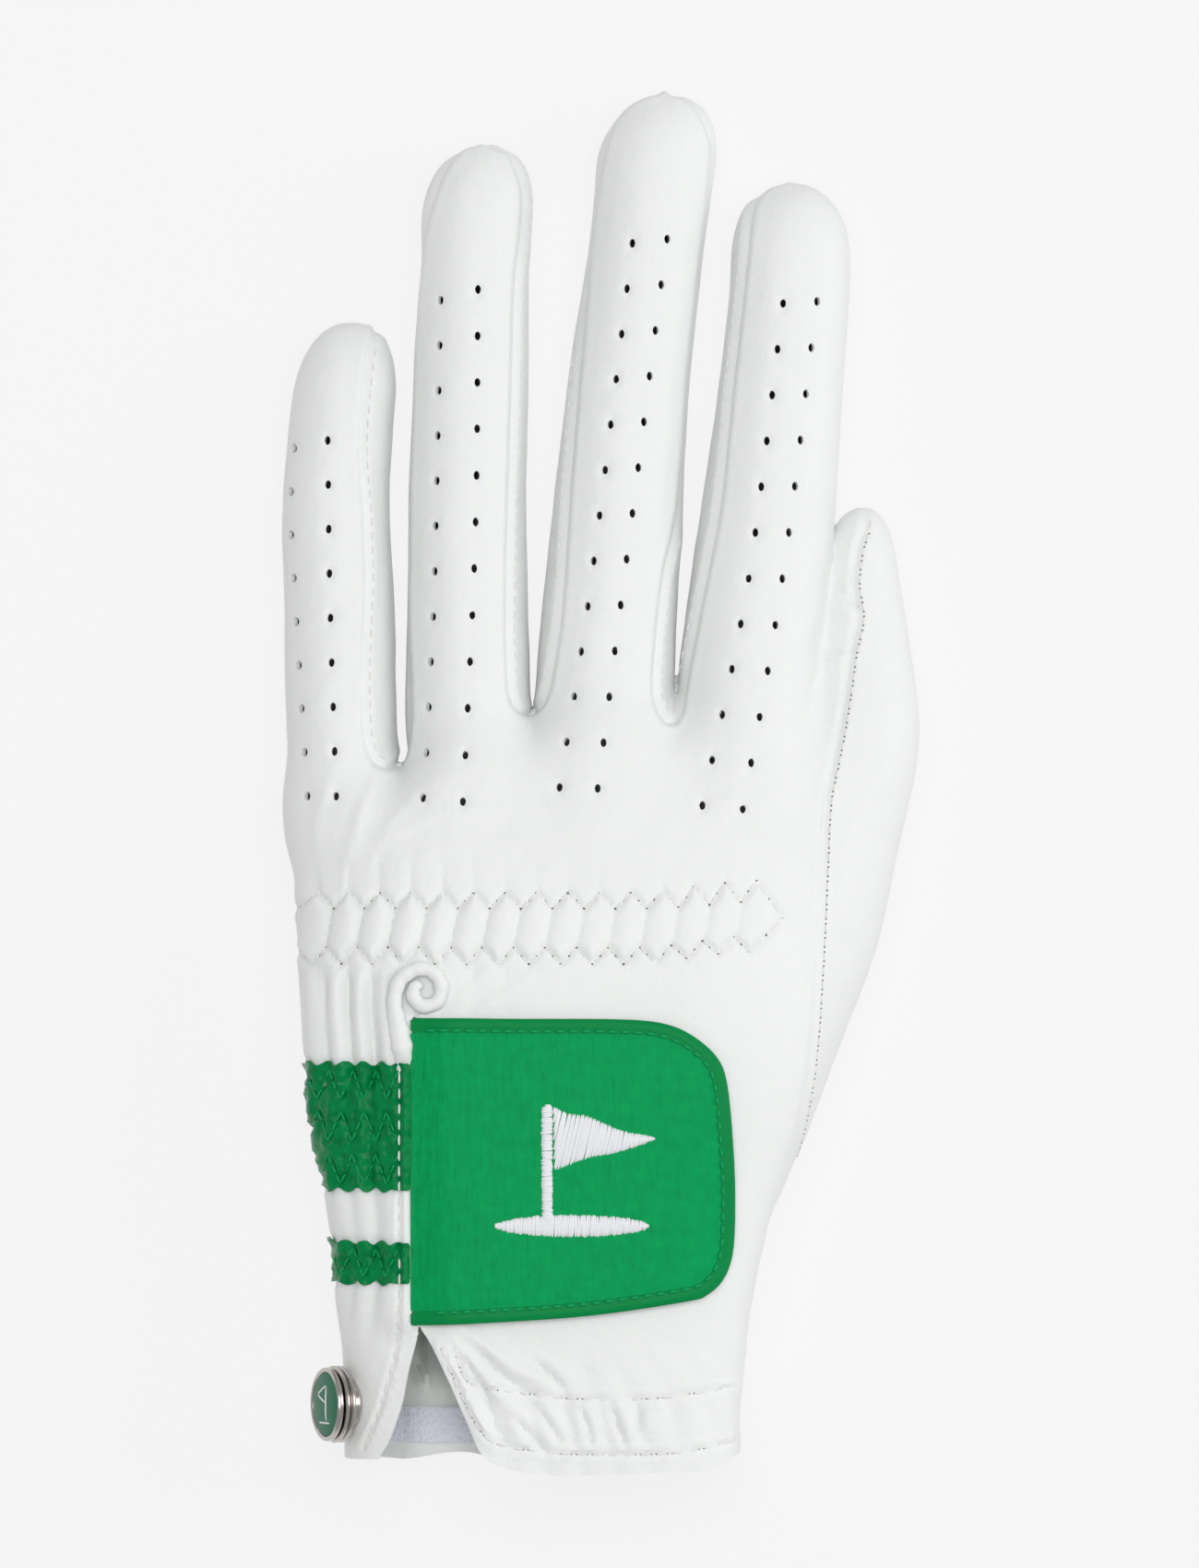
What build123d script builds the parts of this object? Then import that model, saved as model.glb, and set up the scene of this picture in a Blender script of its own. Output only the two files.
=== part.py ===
# Golf glove for the left hand, lying palm down.
#
# Millimetres.  +X is the thumb side, +Y the fingertips, +Z out of the back of the hand, and the flattened
# palm rests on z = 0.  The leather is one tube form, hand and five digits, cut into the panels it is sewn from.
# The closing tab is hinged along its sewn edge, and a ball marker sits on a riveted turning socket at the wrist.
from build123d import *
import math
import os

os.makedirs("parts", exist_ok=True)

# --- driving dimensions ------------------------------------------------------------------------------------
LEATHER = 1.0
TOP = 34.0                    # back of the hand, level from the wrist to the slit's end
HAND_ROUND = 11.0
SEAM_Z = 10.0                 # side seam between palm and back
FORK_HALF = 4.0               # half width of the strips between the fingers
CUFF_PALM_Y = -109.8
CUFF_BACK_Y = -112.4

# hand stations: y, centre x, half width, half thickness
HAND = [(-116, -9.4, 32.1, 17.0), (-84, -8.9, 33.8, 17.0), (-56, -6.6, 40.6, 17.0), (-31, -6.6, 43.0, 17.0),
        (18, -7.8, 44.7, 11.7)]
# far end of the hand between the fingers, in plan
KNUCKLE_END = [(-60, 2), (-33.6, 5.6), (-10.6, 14.0), (13.4, 15.4), (40, 8), (60, 8)]
BEYOND = 130                  # past every fingertip
CROTCHES = {"little_ring": (-33.4, 4.6), "ring_middle": (-10.6, 13.0), "middle_index": (13.4, 14.4)}

# digits: centre point and radius along each one, the last being the fingertip ball
DIGITS = {
    "little": [((-42.6, 2, 10.3), 9.9), ((-43.1, 37, 9.4), 9.1), ((-41.5, 66.3, 8.5), 8.4)],
    "ring": [((-21.8, 4, 11.0), 10.5), ((-21.7, 52, 10.0), 9.8), ((-19.2, 95.6, 8.7), 8.6)],
    "middle": [((0.2, 6, 11.4), 11.2), ((3.8, 52, 10.6), 10.5), ((10.3, 102.8, 9.8), 9.6)],
    "index": [((24.0, 2, 11.7), 11.6), ((28.4, 52, 10.7), 10.5), ((31.2, 88, 9.8), 9.5)],
    "thumb": [((22, -48, 13.0), 12.6), ((36.5, -12, 12.0), 11.6), ((42.2, 8, 10.8), 10.0), ((42.8, 37, 8.2), 7.5)],
}
THUMB_GAP = 0.6               # the thumb lies against the forefinger without touching it

# gaps between the fingers in plan, from the side of the little finger
GAPS = [[(-33.4, 3.0), (-33.0, 40), (-30, BEYOND)], [(-10.6, 12), (-9.0, 50), (-4, BEYOND)],
        [(13.4, 13), (16, 50), (21, BEYOND)]]

# seam lines in plan: where the thumb's back panel and its inner panel stop
THUMB_BACK = [(60, 60), (43.4, 60), (42.2, 37), (41.6, 22), (38.6, 4), (36.6, -8), (35.0, -36), (31.0, -62), (60, -62)]
THUMB_PALM = [(60, 8), (37.4, 8), (28, -2), (21, -22), (22, -44), (30, -62), (60, -62)]

# slit and wrist opening
SLIT_X, SLIT_WIDTH, SLIT_TOP = -30.0, 0.8, -35.0
V_OPENING = [(-30.4, -87.0), (-29.6, -87.0), (-24.8, -99.0), (-17.5, -111.0), (-17.5, -120.0), (-36.2, -120.0),
             (-36.2, -110.0), (-32.5, -98.0)]

# fastening tab, hinged on the edge of the slit
HINGE_X, HINGE_Z = -29.9, TOP + 1.6
TAB_LEFT, TAB_RIGHT, TAB_TOP, TAB_BOTTOM_LEFT, TAB_BOTTOM_RIGHT = -29.5, 21.8, -38.8, -88.2, -84.0
TAB_ROUND_TOP, TAB_ROUND_BOTTOM = 10.5, 7.0
TRIM_WIDTH = 2.4
HOOK, LINING, STIFFENER, FACE, TRIM = (1.1, 1.7), (1.7, 2.1), (2.1, 2.4), (2.4, 3.1), (1.7, 3.3)
EMBLEM = (3.1, 3.6)
LOOP, SLIT_EDGE, BAND = 0.7, 0.5, 0.6

# ball marker and its socket, stacked along a leaning axis
MARKER_Y, MARKER_TILT = -101.4, 66.0
MARKER_R, SOCKET_R, WASHER_R, MAGNET_R, POST_R = 6.0, 6.2, 4.6, 3.6, 1.4
WASHER, SOCKET, MAGNET, RIM = 0.5, (0.8, 2.6), (1.8, 2.4), (2.9, 3.9)


# --- helpers -----------------------------------------------------------------------------------------------
def prism(points, low=-5, high=60):
    return Pos(0, 0, low) * extrude(make_face(Polyline(*points, close=True)), high - low)


def block(x0, x1, y0, y1, z0=-5, z1=60):
    return Pos((x0 + x1) / 2, (y0 + y1) / 2, (z0 + z1) / 2) * Box(x1 - x0, y1 - y0, z1 - z0)


def hand_form(grow):
    """The hand without its digits, its surface moved out by grow."""
    sections = [Plane(origin=(x, y, half_z), x_dir=(1, 0, 0), z_dir=(0, 1, 0))
                * RectangleRounded(2 * (half_x + grow), 2 * (half_z + grow), HAND_ROUND + grow)
                for y, x, half_x, half_z in HAND]
    end = [(x, y + grow) for x, y in KNUCKLE_END]
    return loft(sections, ruled=True) & prism([(-60, -130), *end, (60, -130)])


def digit_form(name, grow):
    """A digit: tapering lengths joined and closed by balls."""
    form = None
    for (start, r0), (stop, r1) in zip(DIGITS[name], DIGITS[name][1:]):
        start, stop = Vector(*start), Vector(*stop)
        length = Plane(origin=start, z_dir=stop - start) * Cone(
            r0 + grow, r1 + grow, (stop - start).length, align=(Align.CENTER, Align.CENTER, Align.MIN))
        form = length if form is None else form + length
        form = form + Pos(*stop) * Sphere(r1 + grow)
    return form


def glove_form(grow):
    form = hand_form(grow)
    for name in ("little", "ring", "middle", "index"):
        form = form + digit_form(name, grow)
    return form + (digit_form("thumb", grow) - digit_form("index", THUMB_GAP - grow))


def in_lengths(panel):
    """A panel as touching lengths: each finger from its root, then the hand across."""
    edges = [[(-70, 2), (-70, BEYOND)], *GAPS, [(70, 4), (70, BEYOND)]]
    lengths = []
    for left, right in zip(edges, edges[1:]):
        finger = prism(left + right[::-1])
        lengths += (panel & finger).solids()
        panel = panel - finger
    for low, high in zip((-140, -84, -57, -28), (-84, -57, -28, 40)):
        lengths += (panel & block(-80, 80, low, high)).solids()
    return Compound(children=lengths)


def skin(inner, outer):
    """A layer of the hand alone, between two offsets of its surface."""
    return hand_form(outer) - hand_form(inner)


def save(shape, name):
    shape.label = name
    export_step(shape, f"parts/{name}.step")


# --- leather shell and its seams ---------------------------------------------------------------------------
shell = glove_form(0) - glove_form(-LEATHER)
shell = shell - block(-80, 80, -140, CUFF_BACK_Y) - block(-80, 80, -140, CUFF_PALM_Y, -5, SEAM_Z)
back_zone = block(-80, 80, -140, 140, SEAM_Z, 60)
palm_zone = block(-80, 80, -140, 140, -5, SEAM_Z)

forks = {}
fingers = ["little", "ring", "middle", "index"]
for left, right in zip(fingers, fingers[1:]):
    name = f"{left}_{right}"
    x, y = CROTCHES[name]
    rising = [centre for centre, radius in DIGITS[left]]
    falling = [centre for centre, radius in reversed(DIGITS[right])]
    plan = [(p[0], p[1]) for p in rising] + [(rising[-1][0] + 0.8, BEYOND)]
    plan += [(falling[0][0] + 0.8, BEYOND)] + [(p[0], p[1]) for p in falling]
    plan[0], plan[-1] = (plan[0][0], y - 4), (plan[-1][0], y - 4)
    zone = prism(plan, SEAM_Z - FORK_HALF, SEAM_Z + FORK_HALF)
    zone = zone + Pos(x, y, 25) * Cylinder(4.4, 30)
    forks[name] = (shell & zone)
    shell = shell - zone
    save(forks[name], f"fourchette_{name}")

thumb_front = (digit_form("thumb", 0.3) - digit_form("index", 0.3)) & block(-80, 80, 8, 80)
thumb_back_plan = prism(THUMB_BACK)
outer_zone = (thumb_front & thumb_back_plan & back_zone) + (block(-80, 80, -140, 8) & thumb_back_plan & back_zone)
inner_zone = thumb_front + prism(THUMB_PALM, -5, SEAM_Z)
thumb_outer = shell & outer_zone
shell = shell - outer_zone
thumb_inner = shell & inner_zone
shell = shell - inner_zone
save(thumb_outer, "thumb_outer_panel")
save(thumb_inner, "thumb_inner_panel")

save(in_lengths(shell & palm_zone), "palm_panel")

# --- marker seat -------------------------------------------------------------------------------------------
lean = math.radians(MARKER_TILT)
axis = Vector(-math.sin(lean), 0, math.cos(lean))
(y0, x0, a0, b0), (y1, x1, a1, b1) = HAND[0], HAND[1]
along = (MARKER_Y - y0) / (y1 - y0)
wrist_x, wrist_half = x0 + along * (x1 - x0), a0 + along * (a1 - a0)
corner = Vector(wrist_x - wrist_half + HAND_ROUND, MARKER_Y, TOP - HAND_ROUND)
seat = Plane(origin=corner + axis * HAND_ROUND, x_dir=(0, 1, 0), z_dir=axis)


def disc(radius, low, high):
    return seat * Pos(0, 0, low) * Cylinder(radius, high - low, align=(Align.CENTER, Align.CENTER, Align.MIN))


# --- back panel with the slit, and what is sewn to it ------------------------------------------------------
slit = block(SLIT_X - SLIT_WIDTH / 2, SLIT_X + SLIT_WIDTH / 2, -88.0, SLIT_TOP, 20, 60)
opening = prism(V_OPENING, 15, 60)
save(in_lengths((shell & back_zone) - slit - opening - disc(POST_R, -5, 5)), "back_panel")

inside, outside = skin(-LEATHER - 0.6, -LEATHER), skin(0, BAND)
upper = SEAM_Z + 2
save(inside & block(-47, 30, -30.5, -16.5, upper), "knuckle_elastic")
save(inside & block(-60, -37.6, -64, -47, upper), "side_elastic_upper")
save(inside & block(-60, -37.6, -83, -68, upper), "side_elastic_lower")
save(inside & block(-37.2, -33.2, -86, -41, upper), "tab_anchor")
save(inside & block(-32.8, -30.6, -86, -37, upper), "slit_edge_left")
save(outside & block(-60, -30.7, -66.5, -46.0, upper + 4), "band_wide")
save(outside & block(-60, -30.7, -81.6, -75.0, upper + 4), "band_narrow")
save(inside & block(-17.0, 40, CUFF_BACK_Y, -98, SEAM_Z + 0.2), "cuff_facing_back")
facing_palm = inside & block(-60, 60, CUFF_PALM_Y, -101, -5, SEAM_Z)
save(facing_palm, "cuff_facing_palm")
terry = skin(-LEATHER - 1.8, -LEATHER - 0.6) & block(-60, 60, -107.6, -102.6, -5, SEAM_Z)
save(terry, "wrist_terry_tape")

save(block(-29.2, -26.4, -86, -37, TOP, TOP + SLIT_EDGE), "slit_edge_right")
save(block(-22, 11, -80, -46, TOP, TOP + LOOP), "loop_patch")
roll = Pos(-29.2, -33.6, TOP + 1.3) * Rot(0, 90, 0) * (Cylinder(1.5, 5.7) - Cylinder(0.7, 6))
save(roll & block(-40, -20, -40, -30, TOP, TOP + 4), "slit_roll")

# --- fastening tab -----------------------------------------------------------------------------------------
def tab_plan(inset, left):
    """The tab's outline from its left end, drawn in from the edges by inset."""
    slope = (TAB_BOTTOM_RIGHT - TAB_BOTTOM_LEFT) / (TAB_RIGHT - TAB_LEFT)
    right, top, bottom = TAB_RIGHT - inset, TAB_TOP - inset, TAB_BOTTOM_RIGHT + inset
    outline = make_face(Polyline(
        (left, bottom - slope * (right - left)), (right, bottom), (right, top), (left, top), close=True))
    outline = fillet(outline.vertices().sort_by(Axis.X)[-2:].sort_by(Axis.Y)[0], TAB_ROUND_BOTTOM - inset)
    corner = [v for v in outline.vertices() if v.X > left + 1 and v.Y > top - 0.1]
    return fillet(max(corner, key=lambda v: v.X), TAB_ROUND_TOP - inset)


def tab_layer(levels, inset, left):
    return Pos(0, 0, TOP + levels[0]) * extrude(tab_plan(inset, left), levels[1] - levels[0])


save(tab_layer(LINING, TRIM_WIDTH, TAB_LEFT), "tab_lining")
save(tab_layer(STIFFENER, TRIM_WIDTH, TAB_LEFT + 0.8), "tab_stiffener")
save(tab_layer(FACE, TRIM_WIDTH, TAB_LEFT + 1.0), "tab_face")
trim = tab_layer(TRIM, 0, TAB_LEFT + 1.4) - tab_layer((TRIM[0] - 1, TRIM[1] + 1), TRIM_WIDTH, TAB_LEFT - 2)
save(trim, "tab_edge_trim")
save(block(-21, 10, -79, -47, TOP + HOOK[0], TOP + HOOK[1]), "tab_hook_patch")

pole = block(-9.4, -7.4, -73.5, -53.0, TOP + EMBLEM[0], TOP + EMBLEM[1])
pennant = prism([(-7.4, -53.0), (8.6, -58.2), (-7.4, -63.4)], TOP + EMBLEM[0], TOP + EMBLEM[1])
green = Pos(-4.5, -72.4, TOP + EMBLEM[0]) * extrude(Ellipse(12.5, 1.9), EMBLEM[1] - EMBLEM[0])
save(pole + pennant + green, "tab_emblem")

# --- ball marker -------------------------------------------------------------------------------------------
save(disc(WASHER_R, -4, WASHER) - disc(POST_R, -6, 3) - hand_form(0), "rivet_washer")
head = disc(3.0, -LEATHER - 1.6, -LEATHER + 1) & hand_form(-LEATHER)
save(disc(POST_R, -LEATHER - 1.0, WASHER + 0.6) + head, "rivet_post")
socket = disc(SOCKET_R, *SOCKET) - disc(POST_R + 0.4, 0, 1.4) - disc(MAGNET_R, MAGNET[0], 5)
save(socket, "marker_socket")
save(disc(MAGNET_R, *MAGNET), "socket_magnet")
rim = disc(MARKER_R, *RIM) - disc(MARKER_R - 0.9, RIM[1] - 0.5, RIM[1] + 1)
save(rim, "marker_rim")
save(disc(MARKER_R - 0.9, RIM[1] - 0.5, RIM[1] - 0.1), "marker_face")
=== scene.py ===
# Looks of a left-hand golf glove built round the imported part.
# Lengths are in millimetres until a mesh is made.
# +X is the thumb side, +Y the fingertips, +Z up from the palm.
import math
import bpy
import numpy as np
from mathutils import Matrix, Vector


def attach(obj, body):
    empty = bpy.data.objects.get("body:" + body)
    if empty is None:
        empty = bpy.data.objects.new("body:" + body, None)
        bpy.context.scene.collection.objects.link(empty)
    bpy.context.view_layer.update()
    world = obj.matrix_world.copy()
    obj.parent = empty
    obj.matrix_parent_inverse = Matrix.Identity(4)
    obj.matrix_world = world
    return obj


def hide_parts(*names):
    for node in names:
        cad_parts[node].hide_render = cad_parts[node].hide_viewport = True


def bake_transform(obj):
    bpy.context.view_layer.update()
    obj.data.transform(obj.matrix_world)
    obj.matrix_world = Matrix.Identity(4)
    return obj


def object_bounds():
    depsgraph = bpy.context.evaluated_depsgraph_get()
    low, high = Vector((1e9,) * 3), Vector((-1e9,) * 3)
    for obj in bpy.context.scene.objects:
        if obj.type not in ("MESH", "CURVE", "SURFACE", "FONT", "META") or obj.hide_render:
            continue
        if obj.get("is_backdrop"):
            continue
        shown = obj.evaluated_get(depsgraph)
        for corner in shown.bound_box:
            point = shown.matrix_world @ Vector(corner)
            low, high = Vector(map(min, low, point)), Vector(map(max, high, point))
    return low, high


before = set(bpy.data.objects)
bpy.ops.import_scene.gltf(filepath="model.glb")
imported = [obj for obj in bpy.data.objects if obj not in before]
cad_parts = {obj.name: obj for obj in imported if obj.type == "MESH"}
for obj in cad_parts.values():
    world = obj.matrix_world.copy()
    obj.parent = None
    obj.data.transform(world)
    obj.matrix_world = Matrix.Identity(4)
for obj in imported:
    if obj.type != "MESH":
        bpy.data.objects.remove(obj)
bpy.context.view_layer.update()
STEP = np.array([0.9, 1.5, 1.4])
FINE = 1.0


# ---- hand form
def table(rows):
    """Smooth values along a run of stations, the first column being where each station is."""
    rows = np.array(rows, float)
    at, values = rows[:, 0], rows[:, 1:]
    slope = np.gradient(values, at, axis=0)

    def read(s):
        s = np.clip(s, at[0], at[-1])
        i = np.clip(np.searchsorted(at, s) - 1, 0, len(at) - 2)
        span = (at[i + 1] - at[i])[..., None]
        t = (s - at[i])[..., None] / span
        out = ((2 * t**3 - 3 * t**2 + 1) * values[i] + (t**3 - 2 * t**2 + t) * span * slope[i]
               + (3 * t**2 - 2 * t**3) * values[i + 1] + (t**3 - t**2) * span * slope[i + 1])
        return np.moveaxis(out, -1, 0)
    return read


# stations: y, centre x, half width, centre z, half thickness; the hand's last value is its squareness
HAND = table([(-120, -9.4, 32.1, 17, 17, 4), (-90, -9, 33.2, 17, 17, 4), (-70, -8.2, 36.4, 17, 17, 4),
              (-50, -6.9, 41, 17, 17, 3.8), (-30, -6.6, 42.6, 16.6, 16.6, 3.4),
              (-12, -6.8, 43.2, 15.2, 15.2, 3), (5, -7.2, 43.6, 13.2, 13.2, 2.7),
              (25, -7.8, 44.7, 11.4, 11.4, 2.6)])
KNUCKLES = table([(-60, 0), (-45, 3), (-33.5, 0), (-22, 8), (-10.5, 8.5), (2, 12), (13, 10.5), (26, 9),
                  (38, 0), (60, -8)])
DIGITS = {
    "little": [(-16, -40.6, 8.6, 12.6, 11.4), (8, -42.1, 9, 11.8, 11.2), (29.6, -42.6, 9, 10.2, 9.8),
               (44.5, -43.1, 8.8, 9.6, 9.2), (60, -42.1, 8.5, 8.9, 8.6), (74.8, -40.5, 8.3, 8.5, 8.2)],
    "ring": [(-12, -21.4, 10, 14, 13), (15, -21.6, 10.2, 12.4, 11.8), (29.6, -21.7, 10.1, 11.3, 10.8),
             (52, -21.7, 9.8, 10.3, 10), (67, -21.2, 9.5, 9.8, 9.5), (89.6, -20.3, 9, 9.2, 9),
             (104.2, -18.8, 8.9, 9, 8.8)],
    "middle": [(-12, 0, 11, 14.2, 13.4), (15, 0.9, 11.3, 12.6, 12.1), (29.6, 1.7, 11.1, 11.6, 11.2),
               (52, 3.75, 10.5, 10.7, 10.4), (67, 5.2, 10, 10.3, 10), (82, 7, 9.8, 9.9, 9.7),
               (97, 8.9, 9.8, 9.7, 9.5), (112.5, 10.7, 9.8, 9.7, 9.5)],
    "index": [(-12, 23.4, 11.6, 14, 13.3), (15, 24.6, 11.7, 12.6, 12.1), (29.5, 25.95, 11.5, 11.7, 11.3),
              (52, 28.35, 10.7, 10.9, 10.5), (67, 30, 10.1, 10.4, 10), (82, 31.2, 9.8, 10, 9.6),
              (97.5, 31.4, 9.7, 9.8, 9.4)],
    "thumb": [(-74, 12, 11, 13, 12.4), (-50, 20.5, 14.6, 13, 12.4), (-30, 28.9, 15.4, 12.6, 11.8),
              (-12, 35.2, 13.5, 12, 11.3), (7, 40.4, 12, 11, 10.2), (22, 41.4, 9.4, 8.9, 8.5),
              (37, 42.6, 6, 7.5, 7.1), (44.6, 43.2, 5.2, 7.2, 6.8)],
}
CAPS = {"little": 13, "ring": 13, "middle": 13, "index": 13, "thumb": 10}  # lengths of the rounded tips
SPANS = {name: (rows[0][0], rows[-1][0]) for name, rows in DIGITS.items()}
DIGITS = {name: table(rows) for name, rows in DIGITS.items()}
FINGERS = ["little", "ring", "middle", "index"]


def smin(a, b, k):
    """The lesser of two fields, blended over a width of k."""
    h = np.clip(0.5 + 0.5 * (b - a) / k, 0, 1)
    return b + (a - b) * h - k * h * (1 - h)


def smax(a, b, k):
    """The greater of two fields, blended over a width of k."""
    return -smin(-a, -b, k)


def ramp(v, low, high):
    """A smooth step from 0 at low to 1 at high."""
    t = np.clip((v - low) / (high - low), 0, 1)
    return t * t * (3 - 2 * t)


def rounded(dx, dz, a, b, n, end=0.0):
    """Near distance to a rounded section with half axes a and b; end adds the rounding of a closed end."""
    px, pz = np.abs(dx) / a, np.abs(dz) / b
    r = np.maximum(px**n + pz**n + end**n, 1e-9) ** (1 / n)
    rise = np.sqrt((px ** (n - 1) / a) ** 2 + (pz ** (n - 1) / b) ** 2 + (end ** (n - 1) / 12) ** 2)
    return (r - 1) / np.maximum(rise * r ** (1 - n), 0.04)


def digit(name, x, y, z):
    """Distance field of one finger or of the thumb, closed at both ends."""
    cx, a, cz, b = DIGITS[name](y)
    root, tip = SPANS[name]
    end = np.maximum((y - tip + CAPS[name]) / CAPS[name], 0) + np.maximum((root + 8 - y) / 8, 0)
    return rounded(x - cx, z - cz, a, b, 2.25, end)


def fields(x, y, z):
    """Distance fields of the hand with its fingers, and of the thumb."""
    cx, a, cz, b, n = HAND(y)
    hand = smax(rounded(x - cx, z - cz, a, b, n), y - KNUCKLES(x)[0], 9.0)
    digits = {name: digit(name, x, y, z) for name in DIGITS}
    fingers = digits["little"]
    for name in FINGERS[1:]:
        fingers = smin(fingers, digits[name], 0.8)
    body = smin(hand, fingers, 5.0)
    return body, digits["thumb"]


def glove(x, y, z):
    """Distance field of the whole glove, flat just above the floor."""
    body, thumb = fields(x, y, z)
    return smax(smin(body, thumb, 1.0 + 6.0 * ramp(-y, -20, 4)), 0.3 - z, 2.0)


def slope_of(p, e=0.15):
    """Slope of the glove's field at some places."""
    out = np.empty_like(p)
    for k in range(3):
        d = np.zeros(3)
        d[k] = e
        out[:, k] = (glove(*(p + d).T) - glove(*(p - d).T)) / (2 * e)
    return out


def on_surface(p, rounds=3):
    """Places moved onto the glove's plain form."""
    for _ in range(rounds):
        g = slope_of(p)
        size = np.maximum(np.linalg.norm(g, axis=1), 1e-6)
        p = p - g * (np.clip(glove(*p.T) / size, -0.8, 0.8) / size)[:, None]
    return p


def normals(p):
    """The ways straight out of the plain form."""
    g = slope_of(p)
    return g / np.maximum(np.linalg.norm(g, axis=1), 1e-9)[:, None]


def surface_net(low, high, h):
    """Triangles over the glove's surface, from a grid of field values."""
    axes = [np.arange(low[k], high[k] + h[k], h[k]) for k in range(3)]
    f = glove(*np.meshgrid(*axes, indexing="ij"))
    cells = tuple(n - 1 for n in f.shape)
    total, count = np.zeros(cells + (3,)), np.zeros(cells)
    quads = []
    for k in range(3):
        a = f[tuple(slice(0, -1) if i == k else slice(None) for i in range(3))]
        b = f[tuple(slice(1, None) if i == k else slice(None) for i in range(3))]
        crossing = (a < 0) != (b < 0)
        t = np.where(crossing, a / np.where(a == b, 1, a - b), 0)
        i, j = [m for m in range(3) if m != k]
        for oi in (0, 1):
            for oj in (0, 1):
                pick = [slice(None)] * 3
                pick[i], pick[j] = slice(oi, oi + cells[i]), slice(oj, oj + cells[j])
                c, tt = crossing[tuple(pick)], t[tuple(pick)]
                count += c
                total[..., i] += c * oi
                total[..., j] += c * oj
                total[..., k] += c * tt
        q = np.argwhere(crossing)
        q = q[(q[:, i] > 0) & (q[:, j] > 0) & (q[:, i] < cells[i]) & (q[:, j] < cells[j])]
        ring = []
        for di, dj in ((-1, -1), (0, -1), (0, 0), (-1, 0)):
            cell = q.copy()
            cell[:, i] += di
            cell[:, j] += dj
            ring.append(np.ravel_multi_index(cell.T, cells))
        ring = np.stack(ring, 1)
        flip = (a[tuple(q.T)] < 0) == (k == 1)
        ring[flip] = ring[flip][:, ::-1]
        quads.append(ring)
    quads = np.concatenate(quads)
    used, quads = np.unique(quads, return_inverse=True)
    quads = quads.reshape(-1, 4)
    cell = np.stack(np.unravel_index(used, cells), 1)
    centre = total.reshape(-1, 3)[used] / count.reshape(-1)[used][:, None]
    v = (cell + centre) * h + np.array([ax[0] for ax in axes])
    t = np.concatenate([quads[:, [0, 1, 2]], quads[:, [0, 2, 3]]])
    return on_surface(v), t


# ---- mesh tools
def compact(v, t):
    """A mesh without the vertices that no triangle uses."""
    used, t = np.unique(t, return_inverse=True)
    return v[used], t.reshape(-1, 3)


def edge_table(t):
    """The mesh's edges, and for each triangle the index of its three edges."""
    e = np.sort(t[:, [0, 1, 1, 2, 2, 0]].reshape(-1, 2), 1)
    key, where = np.unique(e[:, 0].astype(np.int64) * (t.max() + 1) + e[:, 1], return_inverse=True)
    first = np.zeros(len(key), int)
    first[where.ravel()] = np.arange(len(e))
    return e[first], where.reshape(-1, 3)


def split_partly(t, marked, middle):
    """The pieces of the triangles that have one or two marked edges, which are split at the vertex numbers
    in middle; marked and middle are given per corner."""
    out = []
    for r in range(3):
        a, b, c = (t[:, (r + k) % 3] for k in range(3))
        m0, m1, m2 = (marked[:, (r + k) % 3] for k in range(3))
        n0, n1 = middle[:, r], middle[:, (r + 1) % 3]
        one = m0 & ~m1 & ~m2
        out += [np.stack([a, n0, c], 1)[one], np.stack([n0, b, c], 1)[one]]
        two = m0 & m1 & ~m2
        out += [np.stack(corners, 1)[two] for corners in ([n0, b, n1], [a, n0, n1], [a, n1, c])]
    return out


def refine(v, t, size, rounds=3):
    """Splits edges until they are near the length that size gives for a place."""
    for _ in range(rounds):
        e, where = edge_table(t)
        mid = (v[e[:, 0]] + v[e[:, 1]]) / 2
        long = np.linalg.norm(v[e[:, 0]] - v[e[:, 1]], axis=1) > 1.4 * size(mid)
        if not long.any():
            break
        number = np.full(len(e), -1)
        number[long] = len(v) + np.arange(long.sum())
        v = np.concatenate([v, on_surface(mid[long], 2)])
        marked, middle = long[where], number[where]
        every = marked.all(1)
        a, b, c = t[every].T
        x, y, z = middle[every].T
        fours = [np.stack(corners, 1) for corners in ([a, x, z], [x, b, y], [z, y, c], [x, y, z])]
        t = np.concatenate([*split_partly(t, marked, middle), t[~marked.any(1)], *fours])
    return v, t


def cut(mesh, s):
    """Splits a mesh where s, given at its vertices, is zero: the part below zero and the part above."""
    v, t = mesh
    v, s = v.copy(), s.copy()
    e, where = edge_table(t)
    a, b = e.T
    crossing = s[a] * s[b] < 0
    share = np.where(crossing, s[a] / np.where(s[a] == s[b], 1, s[a] - s[b]), 0.5)
    for own, other, part in ((a, b, share), (b, a, 1 - share)):
        near = np.flatnonzero(crossing & (part < 0.22) & (s[own] != 0) & (s[other] != 0))
        v[own[near]] += (v[other[near]] - v[own[near]]) * part[near][:, None]
        s[own[near]] = 0
    s[np.abs(s) < 1e-9] = 0
    crossing = s[a] * s[b] < 0
    share = s[a] / np.where(s[a] == s[b], 1, s[a] - s[b])
    number = np.full(len(e), -1)
    number[crossing] = len(v) + np.arange(crossing.sum())
    new = v[a] + (v[b] - v[a]) * share[:, None]
    v = np.concatenate([v, new[crossing]])
    s = np.concatenate([s, np.zeros(crossing.sum())])
    marked = crossing[where]
    t = np.concatenate([t[~marked.any(1)], *split_partly(t, marked, number[where])])
    below = s[t].sum(1) < 0
    return [compact(v, t[part]) if part.any() else (v[:0], t[:0]) for part in (below, ~below)]


def boundary(t):
    """The directed edges that only one triangle has."""
    e = np.concatenate([t[:, [0, 1]], t[:, [1, 2]], t[:, [2, 0]]])
    n = t.max() + 1
    key, back = e[:, 0].astype(np.int64) * n + e[:, 1], e[:, 1].astype(np.int64) * n + e[:, 0]
    return e[~np.isin(key, back)]


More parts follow.
